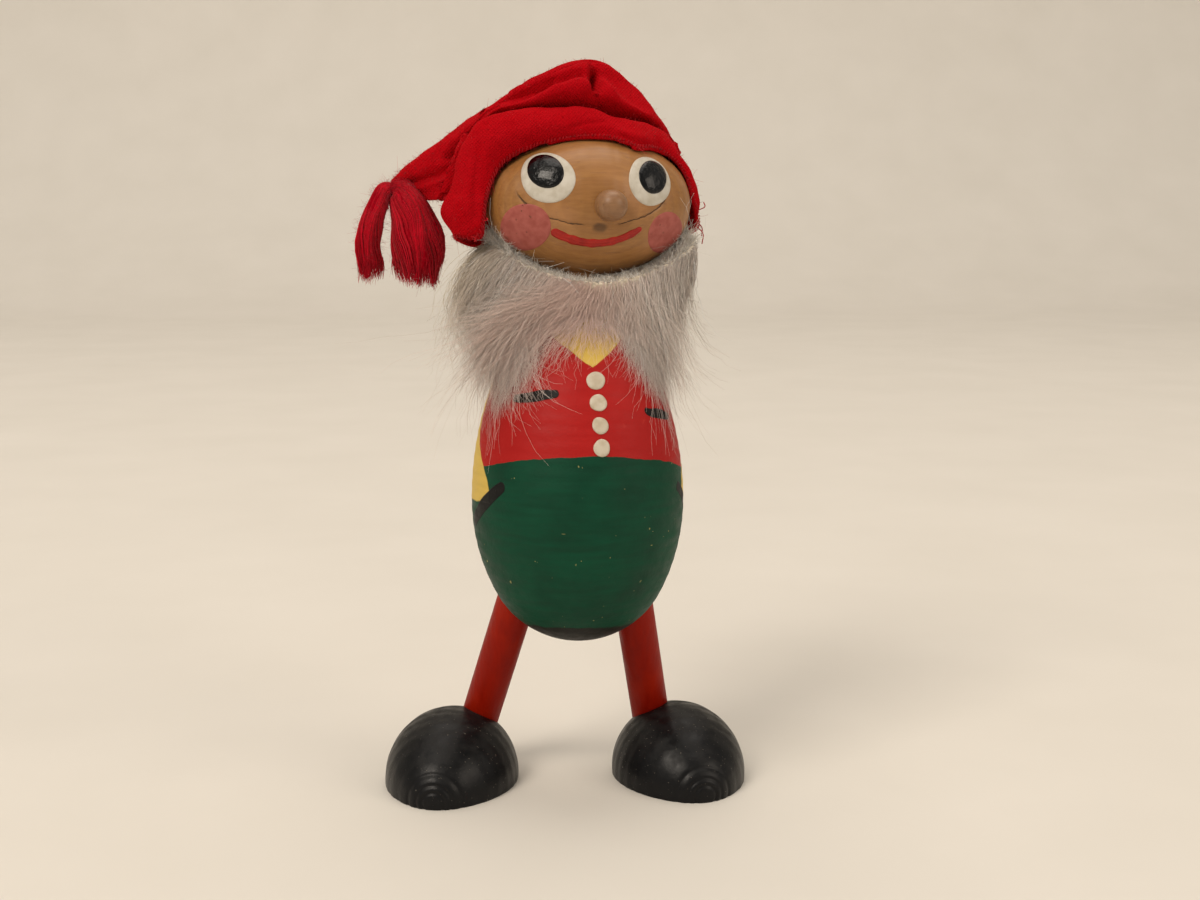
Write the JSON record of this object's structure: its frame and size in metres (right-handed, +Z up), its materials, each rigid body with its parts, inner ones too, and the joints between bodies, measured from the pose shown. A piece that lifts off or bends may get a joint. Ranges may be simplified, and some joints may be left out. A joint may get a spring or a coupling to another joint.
{
  "type": "garden gnome",
  "caption": "Turned-wood gnome figure with a folded red cloth hat, a swinging yarn tassel, a hide beard and half-egg feet.",
  "frame": {"origin": "on the ground, under the middle of the whole figure's bounding box", "axes": "+Z up, the face looks towards -Y, +X is the gnome's own left"},
  "size_m": [0.0787, 0.0466, 0.1481],
  "materials": {
    "body_paint": "satin paint, red above and green below, on turned wood",
    "bare_wood": "clear lacquer on turned wood",
    "leg_paint": "satin orange-red paint on a dowel",
    "foot_paint": "satin black paint on turned wood",
    "white_paint": "thick dried gloss paint",
    "black_gloss_paint": "thick dried gloss paint",
    "pink_paint": "thin matt paint",
    "red_paint": "brushed paint",
    "hide": "raw cut hide",
    "fur": "long grey-white hair",
    "red_cotton": "brushed cotton",
    "thread": "sewing thread",
    "yarn": "frayed crimson yarn"
  },
  "bodies": {
    "gnome": {"body": "body_paint", "head": "bare_wood", "neck_dowel": "bare_wood", "nose_peg": "bare_wood", "leg_left": "leg_paint", "leg_right": "leg_paint", "foot_left": "foot_paint", "foot_right": "foot_paint", "eye_whites": "white_paint", "pupils": "black_gloss_paint", "cheeks": "pink_paint", "mouth": "red_paint", "buttons": "white_paint", "beard_hide": "hide", "beard_fur": "fur", "hat": "red_cotton"},
    "tassel_tie": {"tassel_tie": "thread"},
    "tassel": {"tassel_outer": "yarn", "tassel_inner": "yarn"}
  },
  "joints": [
    {"name": "tassel_swing_fore_and_aft", "type": "hinge", "parent": "gnome", "child": "tassel_tie", "pos_m": [-0.03283, 0.00766, 0.12191], "axis": [1, 0, 0], "range_deg": [-60, 60]},
    {"name": "tassel_swing_sideways", "type": "hinge", "parent": "tassel_tie", "child": "tassel", "pos_m": [-0.03283, 0.00766, 0.12191], "axis": [0, 1, 0], "range_deg": [0, 60]}
  ]
}
